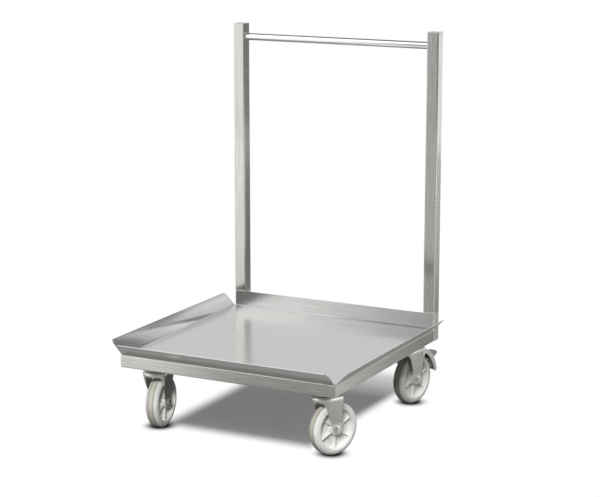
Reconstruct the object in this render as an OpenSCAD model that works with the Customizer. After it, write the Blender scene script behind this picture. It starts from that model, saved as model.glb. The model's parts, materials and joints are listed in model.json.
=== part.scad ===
// Cart for a stack of square dishwasher racks: a folded sheet tray on a welded box tube frame,
// two tall posts with a round push bar, and four plate-less swivel casters, two with a brake.
// Lengths in millimetres. The origin is on the floor under the middle of the frame.
// +X is the cart's right, +Y its back where the posts stand, and +Z is up.

/* [Frame] */
// Width of the frame over its side rails
frame_w = 560; // [460:5:700]
// Depth of the frame from the front rail's face to the posts' back face
frame_d = 580; // [480:5:720]
// Side of the square box tube
tube_s = 30; // [25:1:40]
// Wall of the box tube
tube_t = 1.5; // [1:0.1:2.2]
// Outside corner radius of the box tube
tube_r = 2.5; // [2.3:0.1:4]
// Height of the post tops above the floor
post_top = 920; // [700:10:1100]
// Thickness of the plates that close the posts
cap_t = 2; // [1.5:0.5:4]
// Depth of the spigot under a top cap
cap_spigot = 5; // [3:1:12]
// Diameter of the push bar
bar_d = 18; // [14:1:25]
// Wall of the push bar tube
bar_t = 1.5; // [1:0.1:2.5]
// Distance from the post tops down to the push bar's axis
bar_drop = 33; // [20:1:80]

/* [Tray] */
// Thickness of the tray sheet
sheet_t = 1.5; // [1:0.1:2.5]
// Inside radius of the folds
fold_r = 2; // [1:0.5:4]
// Width of the front and side rims, along the slope
rim_w = 43; // [25:1:60]
// Angle of the front and side rims above the horizontal
rim_angle = 45; // [30:5:65]
// Height of the upright back rim
back_rim_h = 40; // [25:1:80]
// Radius of the rims' outer corners
rim_round = 10; // [4:1:15]
// Distance that each rim stops short of the tray's corners
corner_relief = 4; // [3:0.5:10]

/* [Caster plates] */
// Distance from the frame's side to a caster's swivel axis
inset_x = 58; // [56:1:80]
// Distance from the frame's front or back to a caster's swivel axis
inset_y = 64; // [56:1:80]
// Thickness of the corner plates
plate_t = 5; // [4:0.5:8]
// Metal between a caster bolt hole and the corner plate's free edges
plate_margin = 45; // [30:1:60]
// Bevel across the corner plate's free corner
plate_bevel = 34; // [10:1:38]

/* [Caster] */
// Diameter of the wheels
wheel_d = 125; // [100:1:130]
// Width of the tread
wheel_w = 32; // [26:1:36]
// Height of a caster from the floor to the frame
caster_h = 160; // [158:1:175]
// Distance from the swivel axis to the wheel's axle
trail = 24; // [22:0.5:28]
// Outside width of the fork's parallel ends at the axle
fork_w = 38; // [36:0.5:44]
// Thickness of the fork's sheet
fork_t = 2; // [1.5:0.5:2.5]
// Outside radius of the fork's shoulders
fork_bend = 8; // [5:0.5:9]
// Radius of the fork's round crown
crown_r = 32.5; // [31:0.5:36]
// Depth of the crown's rim at its front
nose_depth = 12; // [9:0.5:14]
// Height above the axle up to which the legs are parallel
straight_h = 14; // [12:0.5:20]
// Radius of the fork's tip around the axle
tip_r = 12.5; // [11:0.5:13]
// Radius of the hollow curve in the fork's front edge
sweep_r = 19; // [14:0.5:24]
// Forward lean of a plain fork's back edge, measured at its top
back_lean = 9; // [0:0.5:10]
// Gap between the frame and the top of the fork
crown_gap = 14; // [13:0.5:16]
// Depth of the ball race pressed into the fork
race_depth = 5; // [4.5:0.5:6]
// Inside radius of that ball race
race_r = 20; // [19:0.5:20.5]
// Diameter of the race balls
ball_d = 5; // [4:0.5:5]
// Radius of the circle that the balls run on
ball_pitch = 14; // [13:0.5:14.5]
// Number of balls in a race
ball_count = 15; // [8:1:15]
// Outside diameter of the hollow swivel rivet
rivet_d = 18; // [17:0.5:19]
// Diameter of the bolt through the swivel rivet
mount_bolt_d = 12; // [10:1:12]
// Diameter of the axle bolt
axle_d = 8; // [6:1:9]
// Diameter of the flanges on the axle bolt's head and its nut
axle_flange_d = 17; // [15:0.5:20]
// Outside diameter of the sleeve that the wheel turns on
sleeve_d = 12; // [11.5:0.5:15]

/* [Wheel] */
// Length of the wheel's hub
hub_l = 33; // [32.5:0.5:33.5]
// Diameter of the wheel's hub
hub_d = 32; // [28:1:46]
// Inside diameter of the wheel's rim
rim_d = 92; // [74:1:96]
// Thickness of the disc between hub and rim
web_t = 8; // [4:0.5:14]
// Radius of the tread's shoulders
tread_round = 9; // [2:0.5:10]
// Number of ribs on each side of the disc
rib_count = 6; // [5:1:14]
// Thickness of a rib
rib_t = 2.5; // [1.5:0.5:5]
// Height that a rib stands above the disc
rib_h = 8; // [3:0.5:10]

/* [Brake] */
// Distance from the axle to the brake pedal's pivot
pivot_arm = 70; // [69.5:0.5:71]
// Angle of the pivot above the horizontal, seen from the axle
pivot_angle = 87; // [84:1:88]
// Diameter of the pivot pin
pivot_d = 6; // [5:0.5:6.5]
// Outside diameter of the pedal's pivot tube
pivot_tube_d = 10; // [9:0.5:11]
// Turn of the pedal from free to locked, in degrees
brake_travel = 6; // [4:0.5:7]
// Inside radius of the pedal's side cheeks about the axle
cheek_in = 68; // [67:0.5:69]
// Outside radius of the pedal's hood about the axle
hood_out = 78.5; // [78.5:0.5:80.5]
// Outside width of the pedal's hood
hood_w = 38; // [37:0.5:42]
// Sheet thickness of the pedal
pedal_t = 2.5; // [2:0.5:3]
// Angle at which the hood ends behind the wheel
hood_low = 6; // [5:1:25]
// Angle at which the hood ends above the wheel
hood_high = 88; // [85:1:89]
// Angle at which the toe tongue leaves the hood
tongue_angle = 31; // [28:1:48]
// Distance that the toe tongue stands out of the hood
tongue_l = 25; // [12:1:32]
// Width of the toe tongue
tongue_w = 30; // [20:1:36]
// Width of the brake shoe
shoe_w = 24; // [14:1:30]
// Angle at which the brake shoe starts
shoe_low = 38; // [30:1:46]
// Angle at which the brake shoe ends
shoe_high = 62; // [55:1:70]

/* [Casters at rest] */
// Direction in which the front right wheel trails, from +X
heading_front_right = 65; // [0:1:359]
// Direction in which the front left wheel trails, from +X
heading_front_left = 97; // [0:1:359]
// Direction in which the rear right wheel trails, from +X
heading_rear_right = 77; // [0:1:359]
// Direction in which the rear left wheel trails, from +X
heading_rear_left = 88; // [0:1:359]
// Turn of the front right wheel, from its trail direction up to a rib
turn_front_right = 26; // [0:1:59]
// Turn of the front left wheel, from its trail direction up to a rib
turn_front_left = 22; // [0:1:59]
// Turn of the rear right wheel, from its trail direction up to a rib
turn_rear_right = 18; // [0:1:59]
// Turn of the rear left wheel, from its trail direction up to a rib
turn_rear_left = 35; // [0:1:59]

/* [Hidden] */
$fn = 96;

// Running clearance of a shaft in its bore, on the radius
run_fit = 0.1;
// Clearance of parts that are pushed together, on the radius
push_fit = 0.05;
// Clearance of a bolt in its hole, on the radius
bolt_gap = 0.5;
// Clearance of a spigot inside a tube
plug_gap = 0.3;
// Clearance of the mounting bolt in the hollow rivet, on the radius
rivet_bore_gap = 0.2;
// Overshoot of cutting shapes
cut = 1;

// Frame positions
half_w = frame_w / 2;
half_d = frame_d / 2;
rail_bottom = caster_h;
rail_top = rail_bottom + tube_s;
tube_in = tube_s - 2 * tube_t;
post_x = half_w - tube_s / 2;
post_y = half_d - tube_s / 2;
post_front = half_d - tube_s;
inner_w = frame_w - 2 * tube_s;
bar_z = post_top - bar_drop;

// Tray positions
deck_z = rail_top + sheet_t;
rim_setback = (fold_r + sheet_t) * tan(rim_angle / 2);
back_setback = fold_r + sheet_t;
tray_x = half_w - rim_setback;
tray_front = -half_d + rim_setback;
tray_back = post_front - back_setback;
front_rim_l = frame_w - 2 * corner_relief;
side_rim_l = post_front + half_d - 2 * corner_relief;
side_rim_y = (post_front - half_d) / 2;
// Width of the deck that is drawn with each rim, so that the two are one sheet
rim_root = 8;

// Caster positions: side in X, side in Y, heading and turn of the wheel of each
FRONT_LEFT = [-1, -1, heading_front_left, turn_front_left];
FRONT_RIGHT = [1, -1, heading_front_right, turn_front_right];
REAR_LEFT = [-1, 1, heading_rear_left, turn_rear_left];
REAR_RIGHT = [1, 1, heading_rear_right, turn_rear_right];
CASTERS = [FRONT_LEFT, FRONT_RIGHT, REAR_LEFT, REAR_RIGHT];
axle_z = wheel_d / 2;
crown_top = caster_h - crown_gap;
race_floor = crown_top - race_depth;
race_bottom = race_floor - fork_t;
race_wall = 3;
ball_z = race_floor + ball_d * 0.35;
head_bottom = race_floor + ball_d * 0.7;
groove_r = ball_d / 2 + push_fit;
head_r = race_r - bolt_gap;
head_plate_r = 32;
head_plate_gap = 1.5;
head_plate_z = crown_top + head_plate_gap;
head_round = 3;
leg_back = trail + tip_r;
leg_in = fork_w - 2 * fork_t;
shoulder_y = crown_r - fork_bend;
shoulder_z = crown_top - fork_bend;
leg_joint_z = axle_z + straight_h;
leg_run = [shoulder_y - fork_w / 2, shoulder_z - leg_joint_z];
leg_lean = atan2(leg_run[0], leg_run[1]) + asin(fork_bend / norm(leg_run));

// Fasteners: hexagon sizes follow the thread
mount_hex = 1.5 * mount_bolt_d;
mount_head_h = 0.625 * mount_bolt_d;
mount_nut_h = 0.9 * mount_bolt_d;
mount_washer_r = mount_bolt_d;
mount_washer_t = 2.5;
mount_end = 3;
rivet_bore_r = mount_bolt_d / 2 + rivet_bore_gap;
rivet_flange_r = 15;
rivet_flange_t = 3;
rivet_flange_top = race_bottom - run_fit;
mount_nut_z = rail_bottom + plate_t + mount_washer_t;
axle_hex = 1.6 * axle_d;
axle_head_h = 0.65 * axle_d;
axle_nut_h = axle_d;
axle_end = 1.5;
axle_flange_t = 1.2;

// Brake positions about the axle
pivot_x = trail + pivot_arm * cos(pivot_angle);
pivot_z = axle_z + pivot_arm * sin(pivot_angle);
brake_gap = 0.3;
shoe_swing = 2 * pivot_arm * sin(brake_travel / 2) * cos(shoe_low - brake_travel);
shoe_in = axle_z + shoe_swing + brake_gap;
hood_in = hood_out - pedal_t;
pin_head_r = 5;
pin_head_t = 2;
pin_boss_r = 6;
pivot_tube_low = pivot_z - pivot_tube_d / 2;
pivot_tube_l = leg_in + 2 * (pivot_tube_low - leg_joint_z) * tan(leg_lean) - 2 * bolt_gap;

// Square with its corners rounded by true arcs
module round_square(side, r) {
    square([side, side - 2 * r], center = true);
    square([side - 2 * r, side], center = true);
    for (x = [-1, 1], y = [-1, 1])
        translate([x * (side / 2 - r), y * (side / 2 - r)]) circle(r);
}

// Section of the box tube
module tube_section() {
    difference() {
        round_square(tube_s, tube_r);
        round_square(tube_in, tube_r - tube_t);
    }
}

// Length of box tube, centred and running along Y
module box_tube_y(length) {
    rotate([90, 0, 0]) linear_extrude(length, center = true) tube_section();
}

// Length of box tube, centred and running along X
module box_tube_x(length) {
    rotate([0, 90, 0]) linear_extrude(length, center = true) tube_section();
}

// Hexagon prism with the given width across its flats
module hexagon(flats, height) {
    cylinder(h = height, r = flats / 2 / cos(30), $fn = 6);
}

// Prism on the outer side of the mitre line at a front corner, where the side rail is cut away
module mitre_wedge(side) {
    reach = 2 * tube_s;
    translate([side * half_w, -half_d, rail_bottom - cut])
        linear_extrude(tube_s + 2 * cut)
            polygon([[0, 0], [-side * reach, reach], [-side * reach, -reach], [0, -reach]]);
}

// Welded frame of box tube

module front_rail() {
    color([0.74, 0.73, 0.70])
        intersection() {
            translate([0, -half_d + tube_s / 2, rail_bottom + tube_s / 2]) box_tube_x(frame_w);
            translate([0, -half_d, rail_bottom - cut])
                linear_extrude(tube_s + 2 * cut)
                    polygon([[-half_w, 0], [half_w, 0], [half_w - tube_s, tube_s],
                        [-half_w + tube_s, tube_s]]);
        }
}

module rear_rail() {
    color([0.74, 0.73, 0.70])
        translate([0, post_y, rail_bottom + tube_s / 2]) box_tube_x(inner_w);
}

module side_rail(side) {
    rail_l = post_front + half_d;
    color([0.70, 0.69, 0.66])
        difference() {
            translate([side * post_x, (post_front - half_d) / 2, rail_bottom + tube_s / 2])
                box_tube_y(rail_l);
            mitre_wedge(side);
        }
}

module post(side) {
    post_l = post_top - cap_t - rail_bottom;
    color([0.76, 0.75, 0.72])
        translate([side * post_x, post_y, rail_bottom])
            linear_extrude(post_l) tube_section();
}

// Plate that closes a post's top, with a spigot inside the tube
module top_cap(side) {
    color([0.76, 0.75, 0.72])
        translate([side * post_x, post_y, post_top - cap_t]) {
            linear_extrude(cap_t) round_square(tube_s, tube_r);
            translate([0, 0, -cap_spigot])
                linear_extrude(cap_spigot) square(tube_in - 2 * plug_gap, center = true);
        }
}

// Plate set into a post's lower end, flush with the frame's underside
module foot_plate(side) {
    color([0.66, 0.65, 0.62])
        translate([side * post_x, post_y, rail_bottom])
            linear_extrude(cap_t) square(tube_in - 2 * plug_gap, center = true);
}

module push_bar() {
    color([0.85, 0.85, 0.85])
        translate([0, post_y, bar_z]) rotate([0, 90, 0])
            linear_extrude(inner_w, center = true)
                difference() {
                    circle(d = bar_d);
                    circle(d = bar_d - 2 * bar_t);
                }
}

// Plate welded into a frame corner, with the hole for one caster's bolt
module corner_plate(caster) {
    plate_x = inset_x - tube_s + plate_margin;
    plate_y = inset_y - tube_s + plate_margin;
    color([0.66, 0.65, 0.62])
        translate([caster[0] * (half_w - tube_s), caster[1] * (half_d - tube_s), rail_bottom])
            linear_extrude(plate_t)
                scale([-caster[0], -caster[1]])
                    difference() {
                        polygon([[0, 0], [plate_x, 0], [plate_x, plate_y - plate_bevel],
                            [plate_x - plate_bevel, plate_y], [0, plate_y]]);
                        translate([inset_x - tube_s, inset_y - tube_s])
                            circle(r = mount_bolt_d / 2 + bolt_gap);
                    }
}

// Tray folded from one sheet

// Rounded fold, its section swept along X about a fold axis at the origin
module fold(length, angle) {
    outer = fold_r + sheet_t;
    reach = 2 * outer;
    rotate([90, 0, 90]) linear_extrude(length, center = true)
        intersection() {
            difference() {
                circle(outer);
                circle(fold_r);
            }
            polygon([[0, 0], [0, -reach], [reach * tan(angle / 2), -reach],
                [reach * sin(angle), -reach * cos(angle)]]);
        }
}

// Flat of a rim with its two outer corners rounded
module rim_outline(length, width) {
    translate([-length / 2, 0]) square([length, width - rim_round]);
    translate([-length / 2 + rim_round, 0]) square([length - 2 * rim_round, width]);
    for (side = [-1, 1])
        translate([side * (length / 2 - rim_round), width - rim_round]) circle(rim_round);
}

// Rim that leaves the sheet's edge along X, folded up from +Y by the angle, with its root in the deck
module rim(length, width, angle) {
    flat = width - (fold_r + sheet_t) * tan(angle / 2);
    translate([-length / 2, -rim_root, -sheet_t]) cube([length, rim_root, sheet_t]);
    translate([0, 0, fold_r]) {
        fold(length, angle);
        rotate([angle, 0, 0]) translate([0, 0, -fold_r - sheet_t])
            linear_extrude(sheet_t) rim_outline(length, flat);
    }
}

module tray() {
    color([0.80, 0.80, 0.79])
        translate([0, 0, deck_z]) {
            translate([-tray_x, tray_front, -sheet_t])
                cube([2 * tray_x, tray_back - tray_front, sheet_t]);
            translate([0, tray_back, 0]) rim(front_rim_l, back_rim_h, 90);
            translate([0, tray_front, 0]) rotate(180) rim(front_rim_l, rim_w, rim_angle);
            for (side = [-1, 1])
                translate([side * tray_x, side_rim_y, 0])
                    rotate(-90 * side) rim(side_rim_l, rim_w, rim_angle);
        }
}

// Casters. Each is drawn with its swivel axis on Z, trailing towards +X, and set in its place

module at_swivel(caster) {
    translate([caster[0] * (half_w - inset_x), caster[1] * (half_d - inset_y), 0]) children();
}

module at_caster(caster) {
    at_swivel(caster) rotate(caster[2]) children();
}

module mounting_bolts() {
    head_z = rivet_flange_top - rivet_flange_t - mount_head_h;
    tip_z = mount_nut_z + mount_nut_h + mount_end;
    color([0.72, 0.73, 0.70])
        for (caster = CASTERS)
            at_swivel(caster) translate([0, 0, head_z]) {
                hexagon(mount_hex, mount_head_h);
                cylinder(h = tip_z - head_z, d = mount_bolt_d);
            }
}

module mounting_washers() {
    color([0.72, 0.73, 0.70])
        for (caster = CASTERS)
            at_swivel(caster) translate([0, 0, rail_bottom + plate_t])
                linear_extrude(mount_washer_t)
                    difference() {
                        circle(mount_washer_r);
                        circle(mount_bolt_d / 2 + bolt_gap);
                    }
}

module mounting_nuts() {
    color([0.72, 0.73, 0.70])
        for (caster = CASTERS)
            at_swivel(caster) translate([0, 0, mount_nut_z])
                difference() {
                    hexagon(mount_hex, mount_nut_h);
                    translate([0, 0, -cut])
                        cylinder(h = mount_nut_h + 2 * cut, r = mount_bolt_d / 2 + push_fit);
                }
}

// Ring-shaped groove that the race balls run in
module ball_groove() {
    translate([0, 0, ball_z]) rotate_extrude() translate([ball_pitch, 0]) circle(groove_r);
}

// Half section of the head's wide plate, its lower edge rounded
module head_plate_section() {
    height = caster_h - head_plate_z;
    translate([0, head_plate_z]) square([head_plate_r - head_round, height]);
    translate([0, head_plate_z + head_round]) square([head_plate_r, height - head_round]);
    translate([head_plate_r - head_round, head_plate_z + head_round]) circle(head_round);
}

// Fixed half of the swivel bearing, under the corner plate
module swivel_head(caster) {
    color([0.70, 0.72, 0.69])
        at_swivel(caster) difference() {
            union() {
                translate([0, 0, head_bottom]) cylinder(h = caster_h - head_bottom, r = head_r);
                rotate_extrude() head_plate_section();
            }
            translate([0, 0, head_bottom - cut])
                cylinder(h = caster_h, r = rivet_d / 2 + push_fit);
            ball_groove();
        }
}

// Hollow rivet that holds the fork up to the head and lets it turn
module swivel_rivet(caster) {
    color([0.70, 0.72, 0.69])
        at_swivel(caster) translate([0, 0, rivet_flange_top - rivet_flange_t]) difference() {
            union() {
                cylinder(h = rivet_flange_t, r = rivet_flange_r);
                cylinder(h = caster_h - rivet_flange_top + rivet_flange_t, d = rivet_d);
            }
            translate([0, 0, -cut]) cylinder(h = caster_h, r = rivet_bore_r);
        }
}

module race_balls(caster) {
    color([0.80, 0.80, 0.80])
        at_caster(caster)
            for (i = [0:ball_count - 1])
                rotate(i * 360 / ball_count) translate([ball_pitch, 0, ball_z]) sphere(d = ball_d);
}

// Half of the fork seen from the front, set in from its outside: leg, leaning wall and shoulder
module fork_half(inset) {
    half = fork_w / 2 - inset;
    r = fork_bend - inset;
    polygon([[0, -inset], [half, -inset], [half, leg_joint_z + inset * tan(leg_lean / 2)],
        [shoulder_y + r * cos(leg_lean), shoulder_z - r * sin(leg_lean)],
        [shoulder_y, shoulder_z + r], [0, shoulder_z + r]]);
    translate([shoulder_y, shoulder_z]) circle(r);
}

// Fork before its sides are cut: round in front of the swivel axis and straight behind it
module fork_body(inset) {
    rotate_extrude() fork_half(inset);
    rotate([90, 0, 90]) linear_extrude(leg_back + cut + inset)
        for (side = [0, 1]) mirror([side, 0]) fork_half(inset);
}

// Fork seen from the side: round tip, a front edge that sweeps into the crown, and a back edge that
// leans forward by the given distance
module fork_side(lean_top) {
    nose_z = crown_top - nose_depth;
    sweep_z = nose_z - sweep_r;
    // Line that leaves the sweep and touches the tip's circle on its front
    run = [trail + crown_r, axle_z - sweep_z];
    lean = atan2(run[1], run[0]) + acos((sweep_r + tip_r) / norm(run));
    touch = [cos(lean), sin(lean)];
    on_sweep = [-crown_r, sweep_z] + sweep_r * touch;
    on_tip = [trail, axle_z] - tip_r * touch;
    difference() {
        polygon([[-crown_r, crown_top], [leg_back - lean_top, crown_top],
            [leg_back, leg_joint_z], [leg_back, axle_z], [trail, axle_z], on_tip, on_sweep,
            [-crown_r, sweep_z]]);
        translate([-crown_r, sweep_z]) circle(sweep_r);
    }
    translate([-crown_r - cut, nose_z]) square([2 * cut, nose_depth]);
    translate([trail, axle_z]) circle(tip_r);
}

// Pressed fork, which turns on the swivel rivet and carries the axle
module fork(caster, braked) {
    color([0.66, 0.69, 0.64])
        at_caster(caster) difference() {
            union() {
                intersection() {
                    difference() {
                        fork_body(0);
                        fork_body(fork_t);
                    }
                    translate([0, crown_r + cut, 0]) rotate([90, 0, 0])
                        linear_extrude(2 * crown_r + 2 * cut)
                            fork_side(braked ? 0 : back_lean);
                }
                translate([0, 0, race_bottom])
                    cylinder(h = crown_top - race_bottom, r = race_r + race_wall);
                if (braked) pin_bosses();
            }
            translate([0, 0, race_floor]) cylinder(h = crown_top, r = race_r);
            translate([0, 0, race_bottom - cut])
                cylinder(h = crown_top, r = rivet_d / 2 + run_fit);
            ball_groove();
            translate([trail, fork_w, axle_z]) rotate([90, 0, 0])
                cylinder(h = 2 * fork_w, r = axle_d / 2 + run_fit);
            if (braked)
                translate([pivot_x, 2 * crown_r, pivot_z]) rotate([90, 0, 0])
                    cylinder(h = 4 * crown_r, r = pivot_d / 2 + push_fit);
        }
}

// Bosses on the outside of the leaning legs, which give the pivot pin's heads a flat seat
module pin_bosses() {
    difference() {
        translate([pivot_x, crown_r, pivot_z]) rotate([90, 0, 0])
            cylinder(h = 2 * crown_r, r = pin_boss_r);
        fork_body(fork_t);
    }
}

// Sets children on the axle, with the axle along Z and its head end towards -Z
module at_axle(caster) {
    at_caster(caster) translate([trail, 0, axle_z]) rotate([-90, 0, 0]) children();
}

module axle_sleeve(caster) {
    color([0.75, 0.75, 0.75])
        at_axle(caster) linear_extrude(leg_in, center = true)
            difference() {
                circle(d = sleeve_d);
                circle(r = axle_d / 2 + run_fit);
            }
}

module axle_bolt(caster) {
    color([0.88, 0.88, 0.88])
        at_axle(caster) {
            translate([0, 0, -fork_w / 2 - axle_head_h]) hexagon(axle_hex, axle_head_h);
            translate([0, 0, -fork_w / 2 - axle_flange_t])
                cylinder(h = axle_flange_t, d = axle_flange_d);
            translate([0, 0, -fork_w / 2 - axle_head_h / 2])
                cylinder(h = fork_w + axle_head_h / 2 + axle_nut_h + axle_end, d = axle_d);
        }
}

module axle_nut(caster) {
    color([0.88, 0.88, 0.88])
        at_axle(caster) translate([0, 0, fork_w / 2]) difference() {
            union() {
                hexagon(axle_hex, axle_nut_h);
                cylinder(h = axle_flange_t, d = axle_flange_d);
            }
            translate([0, 0, -cut])
                cylinder(h = axle_nut_h + 2 * cut, r = axle_d / 2 + push_fit);
        }
}

// Moulded wheel with a rounded tread, a recessed disc on each side, ribs and a long hub
module wheel(caster) {
    rim_r = rim_d / 2;
    shoulder = wheel_w / 2 - tread_round;
    color([0.90, 0.91, 0.90])
        at_axle(caster) difference() {
            union() {
                rotate_extrude() {
                    translate([rim_r, -wheel_w / 2])
                        square([axle_z - tread_round - rim_r, wheel_w]);
                    translate([rim_r, -shoulder]) square([axle_z - rim_r, 2 * shoulder]);
                    for (side = [-1, 1])
                        translate([axle_z - tread_round, side * shoulder]) circle(tread_round);
                    translate([sleeve_d / 2, -web_t / 2]) square([rim_r, web_t]);
                    translate([sleeve_d / 2, -hub_l / 2])
                        square([(hub_d - sleeve_d) / 2, hub_l]);
                }
                for (i = [0:rib_count - 1])
                    rotate(i * 360 / rib_count - caster[3])
                        translate([hub_d / 4, -rib_t / 2, -web_t / 2 - rib_h])
                            cube([rim_r - hub_d / 4 + run_fit, rib_t, web_t + 2 * rib_h]);
            }
            translate([0, 0, -hub_l]) cylinder(h = 2 * hub_l, r = sleeve_d / 2 + run_fit);
        }
}

// Brake on the two rear casters: a hood that pivots in the fork and presses its shoe on the tread

// Ring sector about the axle, between two angles above the horizontal
module ring_sector(inner, outer, low, high) {
    reach = 2 * outer;
    middle = (low + high) / 2;
    span = (high - low) / 2;
    intersection() {
        difference() {
            circle(outer);
            circle(inner);
        }
        polygon([[0, 0], reach * [cos(low), sin(low)],
            reach / cos(span) * [cos(middle), sin(middle)], reach * [cos(high), sin(high)]]);
    }
}

// Extrudes a side view drawn about the axle, centred across the wheel
module across_wheel(width) {
    translate([trail, 0, axle_z]) rotate([90, 0, 0]) linear_extrude(width, center = true) children();
}

module brake_pedal(caster) {
    color([0.66, 0.69, 0.64])
        at_caster(caster) difference() {
            union() {
                across_wheel(hood_w) ring_sector(hood_in, hood_out, hood_low, hood_high);
                for (side = [-1, 1])
                    translate([0, side * (hood_w - pedal_t) / 2, 0])
                        across_wheel(pedal_t) ring_sector(cheek_in, hood_out, hood_low, hood_high);
                translate([trail, 0, axle_z]) rotate([0, -tongue_angle, 0])
                    translate([hood_in, 0, -pedal_t / 2]) linear_extrude(pedal_t)
                        toe_outline();
                translate([pivot_x, 0, pivot_z]) rotate([90, 0, 0])
                    cylinder(h = pivot_tube_l, d = pivot_tube_d, center = true);
            }
            translate([pivot_x, pivot_tube_l, pivot_z]) rotate([90, 0, 0])
                cylinder(h = 2 * pivot_tube_l, r = pivot_d / 2 + run_fit);
        }
}

// Toe tongue with rounded outer corners
module toe_outline() {
    reach = tongue_l + pedal_t;
    r = tongue_w / 4;
    translate([0, -tongue_w / 2]) square([reach - r, tongue_w]);
    translate([0, -tongue_w / 2 + r]) square([reach, tongue_w - 2 * r]);
    for (side = [-1, 1]) translate([reach - r, side * (tongue_w / 2 - r)]) circle(r);
}

module brake_shoe(caster) {
    color([0.30, 0.30, 0.30])
        at_caster(caster) across_wheel(shoe_w) ring_sector(shoe_in, hood_in, shoe_low, shoe_high);
}

module brake_pin(caster) {
    color([0.80, 0.80, 0.80])
        at_caster(caster) translate([pivot_x, 0, pivot_z]) rotate([90, 0, 0]) {
            cylinder(h = 2 * crown_r, d = pivot_d, center = true);
            for (side = [-1, 1])
                translate([0, 0, side * (crown_r + pin_head_t / 2)])
                    cylinder(h = pin_head_t, r = pin_head_r, center = true);
        }
}

front_rail();
rear_rail();
side_rail(-1);  // left_rail
side_rail(1);  // right_rail
post(-1);  // left_post
post(1);  // right_post
top_cap(-1);  // left_top_cap
top_cap(1);  // right_top_cap
foot_plate(-1);  // left_foot_plate
foot_plate(1);  // right_foot_plate
push_bar();
tray();
corner_plate(FRONT_LEFT);  // front_left_corner_plate
corner_plate(FRONT_RIGHT);  // front_right_corner_plate
corner_plate(REAR_LEFT);  // rear_left_corner_plate
corner_plate(REAR_RIGHT);  // rear_right_corner_plate
mounting_bolts();  // caster_mounting_bolts
mounting_washers();  // caster_mounting_washers
mounting_nuts();  // caster_mounting_nuts
swivel_head(FRONT_LEFT);  // front_left_swivel_head
swivel_head(FRONT_RIGHT);  // front_right_swivel_head
swivel_head(REAR_LEFT);  // rear_left_swivel_head
swivel_head(REAR_RIGHT);  // rear_right_swivel_head
swivel_rivet(FRONT_LEFT);  // front_left_swivel_rivet
swivel_rivet(FRONT_RIGHT);  // front_right_swivel_rivet
swivel_rivet(REAR_LEFT);  // rear_left_swivel_rivet
swivel_rivet(REAR_RIGHT);  // rear_right_swivel_rivet
race_balls(FRONT_LEFT);  // front_left_race_balls
race_balls(FRONT_RIGHT);  // front_right_race_balls
race_balls(REAR_LEFT);  // rear_left_race_balls
race_balls(REAR_RIGHT);  // rear_right_race_balls
fork(FRONT_LEFT, false);  // front_left_fork
fork(FRONT_RIGHT, false);  // front_right_fork
fork(REAR_LEFT, true);  // rear_left_fork
fork(REAR_RIGHT, true);  // rear_right_fork
axle_sleeve(FRONT_LEFT);  // front_left_axle_sleeve
axle_sleeve(FRONT_RIGHT);  // front_right_axle_sleeve
axle_sleeve(REAR_LEFT);  // rear_left_axle_sleeve
axle_sleeve(REAR_RIGHT);  // rear_right_axle_sleeve
axle_bolt(FRONT_LEFT);  // front_left_axle_bolt
axle_bolt(FRONT_RIGHT);  // front_right_axle_bolt
axle_bolt(REAR_LEFT);  // rear_left_axle_bolt
axle_bolt(REAR_RIGHT);  // rear_right_axle_bolt
axle_nut(FRONT_LEFT);  // front_left_axle_nut
axle_nut(FRONT_RIGHT);  // front_right_axle_nut
axle_nut(REAR_LEFT);  // rear_left_axle_nut
axle_nut(REAR_RIGHT);  // rear_right_axle_nut
wheel(FRONT_LEFT);  // front_left_wheel
wheel(FRONT_RIGHT);  // front_right_wheel
wheel(REAR_LEFT);  // rear_left_wheel
wheel(REAR_RIGHT);  // rear_right_wheel
brake_pedal(REAR_LEFT);  // rear_left_brake_pedal
brake_pedal(REAR_RIGHT);  // rear_right_brake_pedal
brake_shoe(REAR_LEFT);  // rear_left_brake_shoe
brake_shoe(REAR_RIGHT);  // rear_right_brake_shoe
brake_pin(REAR_LEFT);  // rear_left_brake_pin
brake_pin(REAR_RIGHT);  // rear_right_brake_pin
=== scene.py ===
import json
from math import pi, radians

import bmesh
import bpy
from mathutils import Matrix, Vector

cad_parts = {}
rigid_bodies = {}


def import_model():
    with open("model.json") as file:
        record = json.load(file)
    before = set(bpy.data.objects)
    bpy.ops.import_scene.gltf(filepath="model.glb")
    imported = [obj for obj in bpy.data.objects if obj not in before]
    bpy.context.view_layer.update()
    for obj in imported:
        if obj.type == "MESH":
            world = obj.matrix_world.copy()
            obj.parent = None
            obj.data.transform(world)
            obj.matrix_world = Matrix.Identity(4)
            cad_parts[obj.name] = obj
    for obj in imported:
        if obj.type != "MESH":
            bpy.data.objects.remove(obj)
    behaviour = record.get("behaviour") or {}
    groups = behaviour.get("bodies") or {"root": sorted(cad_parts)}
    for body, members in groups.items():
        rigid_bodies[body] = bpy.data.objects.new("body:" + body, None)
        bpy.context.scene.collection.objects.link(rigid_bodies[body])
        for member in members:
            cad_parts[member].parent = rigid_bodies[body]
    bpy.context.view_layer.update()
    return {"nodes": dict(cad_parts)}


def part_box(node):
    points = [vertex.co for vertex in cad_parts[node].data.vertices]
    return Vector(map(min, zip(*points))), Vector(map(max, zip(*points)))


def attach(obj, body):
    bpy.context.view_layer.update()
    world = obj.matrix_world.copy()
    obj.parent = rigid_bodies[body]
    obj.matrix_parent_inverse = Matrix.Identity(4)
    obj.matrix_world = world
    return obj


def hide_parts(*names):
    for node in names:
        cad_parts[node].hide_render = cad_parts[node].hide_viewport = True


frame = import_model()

node = frame["nodes"]
bpy.ops.object.select_all(action="DESELECT")


# Frame rails. Square stainless tube with 2.5 mm corners, sawn to length, mitred at the front and
# welded, then the seams are ground back and every face is brushed along its tube.
steel_light = (0.70, 0.69, 0.665, 1)
steel_dark = (0.50, 0.49, 0.47, 1)
rail_roughness = (0.18, 0.28)
along, across = 14, 420  # streaks to the metre, with the run of the brushing belt and across it


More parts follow.
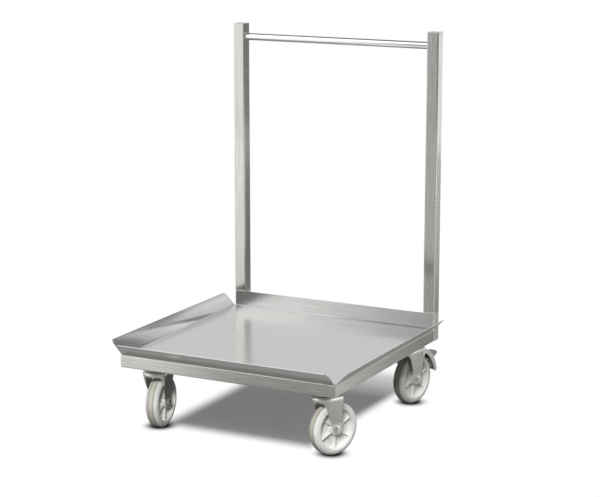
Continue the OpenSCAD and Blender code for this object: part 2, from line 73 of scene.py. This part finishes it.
def fill_sockets(tree, made, sockets):
    """Sets a shader node's inputs to their values, or links them to the nodes that feed them."""
    for socket, value in sockets.items():
        if isinstance(value, bpy.types.NodeSocket):
            tree.links.new(value, made.inputs[socket])
        else:
            made.inputs[socket].default_value = value
    return made


def put(tree, kind, sockets=None, **settings):
    """Adds a shader node, with its options set and its inputs filled."""
    made = tree.nodes.new("ShaderNode" + kind)
    for option, value in settings.items():
        setattr(made, option, value)
    return fill_sockets(tree, made, sockets or {})


def noise(tree, place, scale, detail, roughness=0.5):
    """Soft random mottling, with values around 0.5."""
    sockets = {"Vector": place, "Scale": scale, "Detail": detail, "Roughness": roughness}
    return put(tree, "TexNoise", sockets).outputs["Fac"]


def work_out(tree, operation, *values):
    """The result of one sum."""
    return put(tree, "Math", dict(enumerate(values)), operation=operation).outputs[0]


def work_out_vector(tree, operation, *values, result="Vector"):
    """The result of one vector sum, which is a number where the result is Value."""
    made = put(tree, "VectorMath", dict(enumerate(values)), operation=operation)
    return made.outputs[result]


def fade(tree, value, low, high, off=0, on=1, smooth=False):
    """Goes from off to on as the value goes from low to high, and no further."""
    kind = "SMOOTHSTEP" if smooth else "LINEAR"
    sockets = {"Value": value, "From Min": low, "From Max": high, "To Min": off, "To Max": on}
    return put(tree, "MapRange", sockets, interpolation_type=kind).outputs[0]


def tint(tree, amount, bare, full):
    """The colour between two, bare where the amount is 0 and full where it is 1."""
    return put(tree, "MixRGB", {"Fac": amount, "Color1": bare, "Color2": full}).outputs[0]


def relief(tree, height, strength, depth=0.0002):
    """Fine relief for a shader's Normal, from a height between 0 and 1."""
    sockets = {"Height": height, "Strength": strength, "Distance": depth}
    return put(tree, "Bump", sockets).outputs[0]


def new_group(name, takes, gives):
    """Starts a shader node group with named sockets, and returns its tree and two end nodes."""
    tree = bpy.data.node_groups.new(name, "ShaderNodeTree")
    for side, sockets in (("INPUT", takes), ("OUTPUT", gives)):
        for socket, kind in sockets.items():
            tree.interface.new_socket(socket, in_out=side, socket_type="NodeSocket" + kind)
    return tree, tree.nodes.new("NodeGroupInput"), tree.nodes.new("NodeGroupOutput")


def use_group(tree, group, sockets):
    """Places a node group in a material, with its own values on the group's inputs."""
    made = tree.nodes.new("ShaderNodeGroup")
    made.node_tree = group
    return fill_sockets(tree, made, sockets).outputs


# Group for the marks of a brushing belt or rolls: streaks, finer scratches and a slow cloudiness
brush_marks, given, found = new_group(
    "Brush marks",
    {"Stretch": "Vector"},
    {"Streaks": "Float", "Scratches": "Float", "Cloud": "Float"},
)
spot = put(brush_marks, "TexCoord").outputs["Object"]
stretched = work_out_vector(brush_marks, "MULTIPLY", spot, given.outputs["Stretch"])
finer = work_out_vector(brush_marks, "MULTIPLY", stretched, (7, 7, 7))
fill_sockets(brush_marks, found, {
    "Streaks": noise(brush_marks, stretched, scale=1, detail=3, roughness=0.6),
    "Scratches": noise(brush_marks, finer, scale=1, detail=2, roughness=0.7),
    "Cloud": noise(brush_marks, spot, scale=9, detail=3, roughness=0.55),
})


def new_material(name):
    """Starts a material, and returns it with its tree and its surface shader."""
    material = bpy.data.materials.new(name)
    material.use_nodes = True
    tree = material.node_tree
    return material, tree, tree.nodes["Principled BSDF"]


def metal(name, stretch, light, dark, roughness, bump=0.12, contrast=0.55):
    """Metal with so many streaks to the metre in X, Y and Z, and duller where they are dense."""
    material, tree, surface = new_material(name)
    marks = use_group(tree, brush_marks, {"Stretch": stretch})
    streak = fade(tree, marks["Streaks"], 0.5 - contrast / 2, 0.5 + contrast / 2)
    dull = work_out(tree, "ADD", marks["Cloud"], marks["Scratches"])
    height = work_out(tree, "ADD", marks["Streaks"], marks["Scratches"])
    fill_sockets(tree, surface, {
        "Base Color": tint(tree, streak, dark, light),
        "Roughness": fade(tree, dull, 0.7, 1.3, *roughness),
        "Normal": relief(tree, height, bump),
        "Metallic": 1,
    })
    return material


def dress(name, *materials):
    """Gives a CAD node its finish, one material to a slot."""
    slots = node[name].data.materials
    slots.clear()
    for material in materials:
        slots.append(material)


brushed_x = metal(
    "Brushed steel along X", stretch=(along, across, across),
    light=steel_light, dark=steel_dark, roughness=rail_roughness,
)
brushed_y = metal(
    "Brushed steel along Y", stretch=(across, along, across),
    light=steel_light, dark=steel_dark, roughness=rail_roughness,
)
for rail in ("front_rail", "rear_rail"):
    dress(rail, brushed_x)
for rail in ("left_rail", "right_rail"):
    dress(rail, brushed_y)


# Posts, with the plates that close them. The same tube standing upright, brushed along its height.
# The plates are sheared from sheet, welded in and ground flush, and the weld at each foot is too.
post_roughness = (0.10, 0.16)
ground_top = 0.232  # height above the floor, up to which the foot's weld was ground
ground_ragged = 0.014
ground_soft = 0.003
ground_roughness = 0.34
grit_dark = (0.66, 0.64, 0.59, 1)
grit_light = (0.97, 0.96, 0.91, 1)
foot_plate_edge = 0.0004
brushed_z = metal(
    "Brushed steel upright", stretch=(across, across, along),
    light=steel_light, dark=steel_dark, roughness=post_roughness,
)


def grind_weld(material):
    """Draws the hand-ground weld on a brushed steel: bright, speckled and dull to a ragged line."""
    tree = material.node_tree
    surface = tree.nodes["Principled BSDF"]
    brushed_colour = surface.inputs["Base Color"].links[0].from_socket
    brushed_roughness = surface.inputs["Roughness"].links[0].from_socket
    spot = put(tree, "TexCoord").outputs["Object"]
    height = put(tree, "SeparateXYZ", {0: spot}).outputs["Z"]
    wander = noise(tree, spot, scale=110, detail=3)
    line = work_out(tree, "MULTIPLY_ADD", wander, ground_ragged, height)
    edge = ground_top + ground_ragged / 2
    ground = fade(tree, line, edge + ground_soft, edge - ground_soft)
    grit = fade(tree, noise(tree, spot, scale=480, detail=2), 0.42, 0.60)
    speckled = tint(tree, grit, grit_dark, grit_light)
    dulled = put(tree, "Mix", {0: ground, 2: brushed_roughness, 3: ground_roughness})
    fill_sockets(tree, surface, {
        "Base Color": tint(tree, ground, brushed_colour, speckled),
        "Roughness": dulled.outputs[0],
    })


def round_edges(name, width, edge_slot=None):
    """Rounds a CAD node's edges as it is drawn, without touching its own mesh."""
    weld = node[name].modifiers.new("Join facets", "WELD")
    weld.merge_threshold = 0.00001
    bevel = node[name].modifiers.new("Round edges", "BEVEL")
    bevel.width = width
    bevel.segments = 2
    bevel.limit_method = "ANGLE"
    bevel.angle_limit = radians(35)
    bevel.harden_normals = True
    if edge_slot is not None:
        bevel.material = edge_slot


grind_weld(brushed_z)
for side in ("left", "right"):
    dress(side + "_post", brushed_z)
    dress(side + "_top_cap", brushed_x)
    dress(side + "_foot_plate", brushed_x)
    round_edges(side + "_foot_plate", foot_plate_edge)


# Push bar. Drawn round tube, mirror polished before it is set between the posts and welded to them
# with a thin ring of filler that is brushed clean.
bar_r = 0.009
bead_r = 0.0011
bead_ring_r = bar_r + 0.4 * bead_r
polished = metal(
    "Polished steel", stretch=(30, 900, 900),
    light=(0.88, 0.88, 0.88, 1), dark=(0.80, 0.80, 0.80, 1), roughness=(0.05, 0.11), bump=0.02,
)
weld_metal = metal(
    "Weld metal", stretch=(500, 500, 500),
    light=(0.70, 0.68, 0.64, 1), dark=(0.45, 0.43, 0.40, 1), roughness=(0.22, 0.42), bump=0.3,
)
dress("push_bar", polished)
bar_low, bar_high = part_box("push_bar")
bar_axis = (bar_low + bar_high) / 2


def place_piece(piece, name, material, body):
    """Names a new piece, gives it its finish, and ties it to the body that it moves with."""
    piece.name = name
    piece.data.name = name
    piece.data.materials.clear()
    piece.data.materials.append(material)
    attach(piece, body)


for side, x in (("left", bar_low.x), ("right", bar_high.x)):
    bpy.ops.mesh.primitive_torus_add(
        major_radius=bead_ring_r, minor_radius=bead_r, major_segments=72, minor_segments=12,
        location=(x, bar_axis.y, bar_axis.z), rotation=(0, pi / 2, 0),
    )
    bead = bpy.context.object
    bpy.ops.object.transform_apply(location=True, rotation=True)
    bpy.ops.object.shade_smooth()
    place_piece(bead, side + "_push_bar_weld", weld_metal, "cart_frame")
    bead.select_set(False)


# Tray. One stainless sheet of 1.5 mm, laser cut, with three rims folded up at 45 degrees and the
# back rim upright, tacked to the frame from below. Its rolled finish has a faint grain along X.
tray_edge = 0.00035
rolled = metal(
    "Rolled sheet", stretch=(9, 260, 260),
    light=(0.72, 0.72, 0.71, 1), dark=(0.62, 0.62, 0.61, 1), roughness=(0.14, 0.19), bump=0.05,
)
cut_edge = metal(
    "Cut edge", stretch=(600, 600, 600),
    light=(0.86, 0.85, 0.83, 1), dark=(0.74, 0.73, 0.71, 1), roughness=(0.16, 0.28),
)
dress("tray", rolled, cut_edge)
round_edges("tray", tray_edge, edge_slot=1)


# Corner plates and the bolts that hold the casters to them. The plates are cut from 5 mm sheet and
# welded into the frame; the bolts, washers and nuts are zinc plated steel.
corners = ("front_left", "front_right", "rear_left", "rear_right")
corner_plate_edge = 0.0005
fastener_edge = 0.0004
cut_plate = metal(
    "Cut plate", stretch=(160, 160, 160),
    light=(0.62, 0.61, 0.58, 1), dark=(0.46, 0.45, 0.43, 1), roughness=(0.34, 0.48),
)
bright_zinc = metal(
    "Bright zinc", stretch=(200, 200, 200),
    light=(0.95, 0.96, 0.95, 1), dark=(0.82, 0.83, 0.82, 1), roughness=(0.26, 0.38), bump=0.06,
)
for corner in corners:
    dress(corner + "_corner_plate", cut_plate, cut_edge)
    round_edges(corner + "_corner_plate", corner_plate_edge, edge_slot=1)
for fastener in ("bolts", "washers", "nuts"):
    dress("caster_mounting_" + fastener, bright_zinc)
    round_edges("caster_mounting_" + fastener, fastener_edge)


# Swivel heads and forks. Pressed from 2 mm steel and zinc plated, with a greenish clear coat over
# the zinc; the hollow rivet is set through both, and the balls run between them.
fork_edge = 0.0006
zinc = metal(
    "Passivated zinc", stretch=(120, 120, 120), light=(0.86, 0.90, 0.84, 1),
    dark=(0.68, 0.72, 0.665, 1), roughness=(0.28, 0.42), bump=0.10, contrast=0.8,
)
zinc_edge = metal(
    "Zinc on a pressed edge", stretch=(300, 300, 300),
    light=(0.97, 0.98, 0.94, 1), dark=(0.86, 0.88, 0.83, 1), roughness=(0.30, 0.45), bump=0.06,
)
ball_steel = metal(
    "Ball steel", stretch=(700, 700, 700),
    light=(0.78, 0.78, 0.78, 1), dark=(0.62, 0.62, 0.62, 1), roughness=(0.08, 0.18), bump=0.02,
)
for corner in corners:
    for part in ("_swivel_head", "_swivel_rivet", "_fork"):
        dress(corner + part, zinc, zinc_edge)
    dress(corner + "_race_balls", ball_steel)
    round_edges(corner + "_fork", fork_edge, edge_slot=1)


# Axles. A hexagon bolt through each fork carries a steel sleeve that the wheel turns on, and a nut
# closes it on the far leg. Bolt and nut are bright zinc plated, and the sleeve is left bare.
axle_edge = 0.0006
for corner in corners:
    dress(corner + "_axle_sleeve", ball_steel)
    for part in ("_axle_bolt", "_axle_nut"):
        dress(corner + part, bright_zinc)
        round_edges(corner + part, axle_edge)


# Wheels. Injection moulded in off-white polyamide in one piece: a domed tread, broad side rings, a
# ribbed disc and a long hub bored for the sleeve. The tread is coloured darker: dark brown towards
# its shoulders and a greyer beige in its middle.
wheel_r = 0.0625
tread_half = 0.0060
disc_half = 0.004
bore_r = 0.0061
# Radius and half width at each ring of the side, from the tread in to the bore
side_rings = (
    (0.0623, 0.0076), (0.0618, 0.0091), (0.0611, 0.0103), (0.0600, 0.0118), (0.0585, 0.0133),
    (0.0565, 0.0146), (0.0540, 0.0155), (0.0510, 0.0159), (0.0487, 0.0160), (0.0474, 0.0157),
    (0.0465, 0.0149), (0.0460, 0.0138), (0.0452, 0.0070), (0.0444, 0.0050), (0.0428, disc_half),
    (0.0186, disc_half), (0.0168, 0.0050), (0.0162, 0.0066), (0.0158, 0.0150), (0.0152, 0.0161),
    (0.0144, 0.0165), (0.0078, 0.0165), (0.0068, 0.0161), (bore_r, 0.0154),
)
rib_count = 6
rib_in, rib_out = 0.0146, 0.0466
rib_half = 0.012
rib_thick = 0.0025
rib_edge = 0.0006
axle_height = 0.0625
trail = 0.024
swivel_x, swivel_y = 0.222, 0.226
headings = {"front_left": 97, "front_right": 65, "rear_left": 88, "rear_right": 77}
wheel_turns = {"front_left": 22, "front_right": 26, "rear_left": 35, "rear_right": 18}
clean_dark, clean_light = (0.73, 0.745, 0.71, 1), (0.81, 0.82, 0.785, 1)
tread_band_dark, tread_band_light = (0.26, 0.22, 0.17, 1), (0.42, 0.37, 0.30, 1)
tread_middle_colour = (0.56, 0.53, 0.46, 1)
tread_band_strength = 0.85
tread_band_ragged = 0.003
# Where the dark tread band ends and is at its full to the side of the tread's middle, its ragged
# part counted in; the same of the greyer strip in its middle; and the same from the axle
tread_band_off_half, tread_band_full_half = 0.0105, 0.0082
tread_middle_off_half, tread_middle_full_half = 0.0070, 0.0045
tread_band_off_r, tread_band_full_r = 0.055, 0.059


def work_on(piece):
    """Selects one piece alone."""
    bpy.ops.object.select_all(action="DESELECT")
    piece.select_set(True)
    bpy.context.view_layer.objects.active = piece


def edit(piece):
    """Opens a piece in edit mode with faces to pick."""
    work_on(piece)
    bpy.context.tool_settings.mesh_select_mode = (False, False, True)
    bpy.ops.object.mode_set(mode="EDIT")


def pick(piece, wanted):
    """Selects just the faces that pass a test."""
    mesh = bmesh.from_edit_mesh(piece.data)
    bpy.ops.mesh.select_all(action="DESELECT")
    for face in mesh.faces:
        face.select_set(wanted(face))
    bmesh.update_edit_mesh(piece.data)


# The turned shape lies on its axle, along Y. Both sides are inset ring by ring, and then bored.
bpy.ops.mesh.primitive_cylinder_add(
    vertices=120, radius=wheel_r, depth=2 * tread_half, end_fill_type="NGON",
    rotation=(pi / 2, 0, 0),
)
wheel = bpy.context.object
bpy.ops.object.transform_apply(rotation=True)
edit(wheel)
pick(wheel, lambda face: abs(face.normal.y) > 0.9)
at_r, at_half = wheel_r, tread_half
for r, half in side_rings:
    bpy.ops.mesh.inset(
        thickness=at_r - r, depth=half - at_half, use_even_offset=True, use_individual=True
    )
    at_r, at_half = r, half
bpy.ops.mesh.bridge_edge_loops()
bpy.ops.object.mode_set(mode="OBJECT")

# The ribs stand out from the hub to the side rings, and are moulded in one with them
bpy.ops.object.select_all(action="DESELECT")
ribs = []
for i in range(rib_count):
    turn = Matrix.Rotation(2 * pi * i / rib_count, 4, "Y")
    bpy.ops.mesh.primitive_cube_add(size=1)
    rib = bpy.context.object
    rib.scale = (rib_out - rib_in, 2 * rib_half, rib_thick)
    rib.location = turn @ Vector(((rib_in + rib_out) / 2, 0, 0))
    rib.rotation_euler = turn.to_euler()
    bpy.ops.object.transform_apply(location=True, rotation=True, scale=True)
    ribs.append(rib)
for rib in ribs:
    rib.select_set(True)
bpy.context.view_layer.objects.active = ribs[0]
bpy.ops.object.join()
rib_set = bpy.context.object
edit(rib_set)
bpy.ops.mesh.select_all(action="SELECT")
bpy.ops.mesh.bevel(offset=rib_edge, segments=2, affect="EDGES")
bpy.ops.object.mode_set(mode="OBJECT")
work_on(wheel)
union = wheel.modifiers.new("Ribs", "BOOLEAN")
union.operation = "UNION"
union.solver = "EXACT"
union.object = rib_set
bpy.ops.object.modifier_apply(modifier="Ribs")
bpy.data.objects.remove(rib_set)
bpy.ops.object.shade_smooth_by_angle(angle=radians(32))


def wheel_place(corner):
    """Where a wheel's middle stands at rest, with the axle along its own Y."""
    side = -1 if corner.endswith("left") else 1
    end = -1 if corner.startswith("front") else 1
    return (
        Matrix.Translation((side * swivel_x, end * swivel_y, 0))
        @ Matrix.Rotation(radians(headings[corner]), 4, "Z")
        @ Matrix.Translation((trail, 0, axle_height))
        @ Matrix.Rotation(radians(-wheel_turns[corner]), 4, "Y")
    )


# Group that tells how far a point is from an axle, and how far to the side of the wheel's middle
from_axle, given, found = new_group(
    "Distance from axle",
    {"Centre": "Vector", "Axle": "Vector"},
    {"Radius": "Float", "Side": "Float"},
)
spot = put(from_axle, "TexCoord").outputs["Object"]
axle = given.outputs["Axle"]
arm = work_out_vector(from_axle, "SUBTRACT", spot, given.outputs["Centre"])
sideways = work_out_vector(from_axle, "DOT_PRODUCT", arm, axle, result="Value")
on_axle = put(from_axle, "VectorMath", {0: axle, "Scale": sideways}, operation="SCALE").outputs[0]
spoke = work_out_vector(from_axle, "SUBTRACT", arm, on_axle)
fill_sockets(from_axle, found, {
    "Radius": work_out_vector(from_axle, "LENGTH", spoke, result="Value"),
    "Side": work_out(from_axle, "ABSOLUTE", sideways),
})


def polyamide(name, centre, axle):
    """Off-white moulded plastic, darker and browner on the tread and its shoulders."""
    material, tree, surface = new_material(name)
    place = use_group(tree, from_axle, {"Centre": centre, "Axle": axle})
    spot = put(tree, "TexCoord").outputs["Object"]
    mottle = noise(tree, spot, scale=60, detail=4, roughness=0.6)
    # The tread and its shoulders are coloured darker brown, with a greyer strip in the middle
    side = work_out(tree, "MULTIPLY_ADD", mottle, tread_band_ragged, place["Side"])
    tread = fade(tree, side, tread_band_off_half, tread_band_full_half, smooth=True)
    tread_middle = fade(tree, side, tread_middle_off_half, tread_middle_full_half, smooth=True)
    outside = fade(tree, place["Radius"], tread_band_off_r, tread_band_full_r)
    tread_band = work_out(tree, "MULTIPLY", tread, outside)
    tread_band = work_out(tree, "MULTIPLY", tread_band, tread_band_strength)
    clean = tint(tree, mottle, clean_dark, clean_light)
    tread_band_colour = tint(tree, tread_middle, tint(tree, mottle, tread_band_dark, tread_band_light), tread_middle_colour)
    fill_sockets(tree, surface, {
        "Base Color": tint(tree, tread_band, clean, tread_band_colour),
        "Roughness": fade(tree, mottle, 0.3, 0.7, 0.34, 0.50),
        "Normal": relief(tree, noise(tree, spot, scale=1400, detail=2), 0.12),
    })
    return material


for corner in corners:
    piece = wheel.copy()
    piece.data = wheel.data.copy()
    bpy.context.collection.objects.link(piece)
    work_on(piece)
    place = wheel_place(corner)
    piece.matrix_world = place
    bpy.ops.object.transform_apply(location=True, rotation=True)
    axle = place.to_3x3() @ Vector((0, 1, 0))
    plastic = polyamide("Polyamide of " + corner, place.translation, axle)
    place_piece(piece, corner + "_moulded_wheel", plastic, corner + "_roller")
    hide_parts(corner + "_wheel")
bpy.data.objects.remove(wheel)


# Brakes. On each rear caster a zinc plated hood hangs on a pin through the fork; the shoe inside it
# is black moulded rubber.
pedal_edge = 0.0007
pin_edge = 0.0005
rubber_dark, rubber_light = (0.02, 0.02, 0.02, 1), (0.06, 0.06, 0.058, 1)
rubber, tree, surface = new_material("Brake rubber")
grain = noise(tree, put(tree, "TexCoord").outputs["Object"], scale=500, detail=3)
fill_sockets(tree, surface, {
    "Base Color": tint(tree, grain, rubber_dark, rubber_light),
    "Roughness": fade(tree, grain, 0, 1, 0.6, 0.9),
    "Normal": relief(tree, grain, 0.3, depth=0.0004),
})
for corner in ("rear_left", "rear_right"):
    dress(corner + "_brake_pedal", zinc, zinc_edge)
    dress(corner + "_brake_shoe", rubber)
    dress(corner + "_brake_pin", bright_zinc)
    round_edges(corner + "_brake_pedal", pedal_edge, edge_slot=1)
    round_edges(corner + "_brake_pin", pin_edge)


# Studio. A pale matt floor in a white room, seen from where the photograph was taken. As there, the
# camera finds pure white beside the cart and a soft grey shadow under it, and the steel mirrors
# dark and white cards. The shadow's outline, the black patches at the wheels and a little light
# that lifts the shadow are painted into the floor, and the floor's cards are painted reflections
# that only the steel sees. Two soft lights hang overhead, and a smaller one stands at the front
# right.
floor_size = 8.0
floor_paint, tree, surface = new_material("Studio floor")
spot = put(tree, "TexCoord").outputs["Object"]
seen_by = put(tree, "LightPath").outputs


def overlap(tree, *masks):
    """Mask of where all of the masks overlap."""
    shared = masks[0]
    for mask in masks[1:]:
        shared = work_out(tree, "MULTIPLY", shared, mask)
    return shared


def blend(tree, mask, outside, inside):
    """The brightness outside a mask, going over to the one inside it."""
    return put(tree, "Mix", {0: mask, 2: outside, 3: inside}).outputs[0]


def floor_past(place, towards, soft):
    """Mask of the floor past a line through a place, soft by that much to either side."""
    arm = work_out_vector(tree, "SUBTRACT", spot, (*place, 0))
    heading = Vector((*towards, 0)).normalized()
    past = work_out_vector(tree, "DOT_PRODUCT", arm, heading, result="Value")
    return fade(tree, past, -soft, soft, smooth=True)


def grey(shade):
    return (shade, shade, shade, 1)


# Painted reflection: shades that the floor shows only to the steel that mirrors it, each laid over
# the ones before: bright at the right, dark behind, a white card at the front left, and a painted
# shadow, nearly black, under the cart
reach = work_out_vector(tree, "LENGTH", spot, result="Value")
far_off = fade(tree, reach, 0.9, 4.2)
past_feet = fade(tree, reach, 0.85, 1.15)
in_front = floor_past((0, -0.55), (0, -1), 0.12)
front_left = overlap(tree, floor_past((-0.27, -0.64), (-0.82, 0.57), 0.10), in_front)
far_right = overlap(
    tree, floor_past((0.60, 0.48), (0.25, -0.97), 0.40), floor_past((0.53, 0), (1, 0), 0.08)
)
behind = floor_past((0, 0.9), (0, 1), 0.5)
behind_right = floor_past((1.25, 2.50), (0.898, -0.44), 0.06)
either_side = put(tree, "SeparateXYZ", {0: work_out_vector(tree, "ABSOLUTE", spot)}).outputs["X"]
# Painted shadow under the cart, in the floor that the steel mirrors
painted_shadow_under_cart = overlap(
    tree, fade(tree, either_side, 0.25, 0.18, smooth=True),
    floor_past((0, -0.18), (0, 1), 0.04), floor_past((0, 0.55), (0, -1), 0.10),
)
shade = 0.37
for mask, over in (
    (far_right, 1.02),
    (in_front, blend(tree, past_feet, 0.38, 0.60)),
    (behind, blend(tree, behind_right, 0.25, blend(tree, far_off, 0.15, 1.9))),
    (front_left, blend(tree, far_off, 0.98, 1.36)),
    (painted_shadow_under_cart, 0.05),
):
    shade = blend(tree, mask, shade, over)
# The painted reflection is an emission that only the steel's mirrored rays see
mirrored = put(tree, "Emission", {"Color": (1, 0.992, 0.972, 1), "Strength": shade}).outputs[0]

# Painted contact shadow: a small black patch where each wheel stands, alike on the left and on the
# right
front_foot, rear_foot = (0.2285, -0.203, 0), (0.224, 0.2495, 0)
contact_shadow_r, contact_shadow_fade_r = 0.016, 0.052
only_x = work_out_vector(tree, "MULTIPLY", spot, (1, 0, 0))
folded_x = work_out_vector(tree, "ABSOLUTE", only_x)
folded = work_out_vector(tree, "MULTIPLY_ADD", spot, (0, 1, 0), folded_x)
off_front = work_out_vector(tree, "DISTANCE", folded, front_foot, result="Value")
off_rear = work_out_vector(tree, "DISTANCE", folded, rear_foot, result="Value")
off_painted_contact_shadows = overlap(
    tree, fade(tree, off_front, contact_shadow_r, contact_shadow_fade_r, smooth=True),
    fade(tree, off_rear, contact_shadow_r, contact_shadow_fade_r, smooth=True),
)

# The floor itself: matt paint, nearly black to bounced light so that the shade under the cart is
# deeper, a little emission that lifts the shadow as painted fill light, and bare white outside a
# painted outline of the cart's shadow
pale = tint(tree, noise(tree, spot, scale=3, detail=3), grey(0.80), grey(0.84))
# The floor's paint, with the painted contact shadows in black
painted = tint(tree, off_painted_contact_shadows, grey(0.01), pale)
fill_sockets(tree, surface, {
    "Base Color": tint(tree, seen_by["Is Diffuse Ray"], painted, grey(0.035)),
    "Roughness": 0.9,
    "Specular IOR Level": 0.1,
})
in_view = overlap(tree, seen_by["Is Camera Ray"], off_painted_contact_shadows)
# Painted fill light: the camera sees the floor emit a little light, which lifts the shadow under
# the cart
painted_lift_glow = put(tree, "Emission", {"Strength": work_out(tree, "MULTIPLY", in_view, 0.115)})
matt = put(tree, "AddShader", {0: surface.outputs[0], 1: painted_lift_glow.outputs[0]}).outputs[0]
# Painted outline of the cart's shadow: outside it the camera sees the floor white
outside_painted_shadow_outline = floor_past((0.162, 0), (1, 0), 0.022)
for place, towards, soft in (
    ((-0.225, 0), (-1, 0), 0.03),
    ((0, -0.185), (0, -1), 0.035),
    ((0, 0.46), (0, 1), 0.06),
):
    outside_painted_shadow_outline = work_out(tree, "MAXIMUM", outside_painted_shadow_outline, floor_past(place, towards, soft))
white = put(tree, "Emission", {"Strength": 1.0}).outputs[0]
see_through = put(tree, "BsdfTransparent").outputs[0]
finish = matt
for mask, over in (
    (overlap(tree, outside_painted_shadow_outline, in_view), white),
    (seen_by["Is Glossy Ray"], mirrored),
    (put(tree, "NewGeometry").outputs["Backfacing"], see_through),
):
    finish = put(tree, "MixShader", {0: mask, 1: finish, 2: over}).outputs[0]
tree.links.new(finish, tree.nodes["Material Output"].inputs["Surface"])

bpy.ops.mesh.primitive_plane_add(size=floor_size, location=(0, 0, 0))
floor = bpy.context.object
floor.name = "studio_floor"
floor.data.materials.append(floor_paint)

# The room. The camera sees it white. The steel mirrors its shades by height, from 0 straight down
# to 1 straight up, with white cards at the front left and high at the right, and low walls of their
# own shades below the horizon.
room_shades = (
    (0.49, 0.40), (0.54, 0.70), (0.63, 0.76), (0.70, 0.85), (0.735, 1.02), (0.755, 0.78),
    (0.79, 0.74), (0.83, 0.22), (0.97, 0.15), (1.0, 0.3),
)
scene = bpy.context.scene
scene.view_settings.view_transform = "Standard"
world = bpy.data.worlds.new("Studio room")
scene.world = world
world.use_nodes = True
tree = world.node_tree
direction = put(tree, "TexCoord").outputs["Generated"]
height = put(tree, "SeparateXYZ", {0: direction}).outputs["Z"]
by_height = put(tree, "ValToRGB", {0: fade(tree, height, -1, 1)})
ramp = by_height.color_ramp
ramp.interpolation = "EASE"
for place, shade in room_shades:
    ramp.elements.new(place).color = grey(shade)
ramp.elements.remove(ramp.elements[0])


def room_towards(towards, low, high):
    """Mask of the room that rises as the direction turns to a vector, by the cosine to it."""
    heading = Vector(towards).normalized()
    turned = work_out_vector(tree, "DOT_PRODUCT", direction, heading, result="Value")
    return fade(tree, turned, low, high, smooth=True)


front = room_towards((0, -1, 0), 0.0, 0.3)
left = room_towards((-0.906, 0.423, 0), -0.02, 0.02)
back_left = room_towards((-0.899, 0.438, 0), -0.03, 0.03)
not_straight_up = room_towards((0, 0, -1), -0.93, -0.85)
high_right = room_towards((0.85, 0.18, 0.50), 0.88, 0.97)
right = room_towards((1, 0, 0.3), 0.4, 0.9)
below_horizon = fade(tree, height, -0.02, -0.06, smooth=True)
low_walls = blend(tree, front, blend(tree, back_left, 0.14, 1.25), blend(tree, left, 0.40, 1.18))
mirrored = by_height.outputs[0]
for mask, over in (
    (front, 0.32),
    (overlap(tree, front, left, not_straight_up), 1.55),
    (high_right, 1.7),
    (below_horizon, low_walls),
):
    mirrored = blend(tree, mask, mirrored, over)
ambient = blend(tree, right, blend(tree, front, 0.09, 0.16), 0.42)
seen_by = put(tree, "LightPath").outputs
strength = blend(tree, seen_by["Is Glossy Ray"], ambient, mirrored)
strength = blend(tree, seen_by["Is Camera Ray"], strength, 1.0)
fill_sockets(tree, tree.nodes["Background"], {"Color": (1, 1, 1, 1), "Strength": strength})

# The lights, which the steel doesn't mirror, and what each of them lights
floor_only = bpy.data.collections.new("The floor")
cart_only = bpy.data.collections.new("The cart")
for piece in bpy.data.objects:
    if piece.type == "MESH":
        (floor_only if piece == floor else cart_only).objects.link(piece)


def add_light(name, kind, energy, lit):
    """Hangs a light for the objects of one collection."""
    light = bpy.data.objects.new(name, bpy.data.lights.new(name, kind))
    bpy.context.collection.objects.link(light)
    light.data.energy = energy
    light.visible_glossy = False
    light.light_linking.receiver_collection = lit
    return light


overhead = add_light("Overhead light", "SUN", 1.6, floor_only)
overhead.data.angle = radians(70)
overhead.rotation_euler = (radians(16), radians(6), 0)

key_light = add_light("Key light", "AREA", 142, cart_only)
key_light.data.shape = "RECTANGLE"
key_light.data.size, key_light.data.size_y = 0.9, 0.6
key_light.location = (1.3, -3.5, 2.3)
aim = Vector((0, 0, 0.1)) - key_light.location
key_light.rotation_euler = aim.to_track_quat("-Z", "Y").to_euler()

soft_top = add_light("Soft top light", "SUN", 4.0, cart_only)
soft_top.data.angle = radians(75)

camera = bpy.data.objects.new("Camera", bpy.data.cameras.new("Camera"))
bpy.context.collection.objects.link(camera)
camera.location = (2.0006, -3.7996, 1.3356)
camera.rotation_euler = (radians(77.92), 0, radians(27.26))
camera.data.sensor_width = 36
camera.data.lens = 110.5
scene.camera = camera
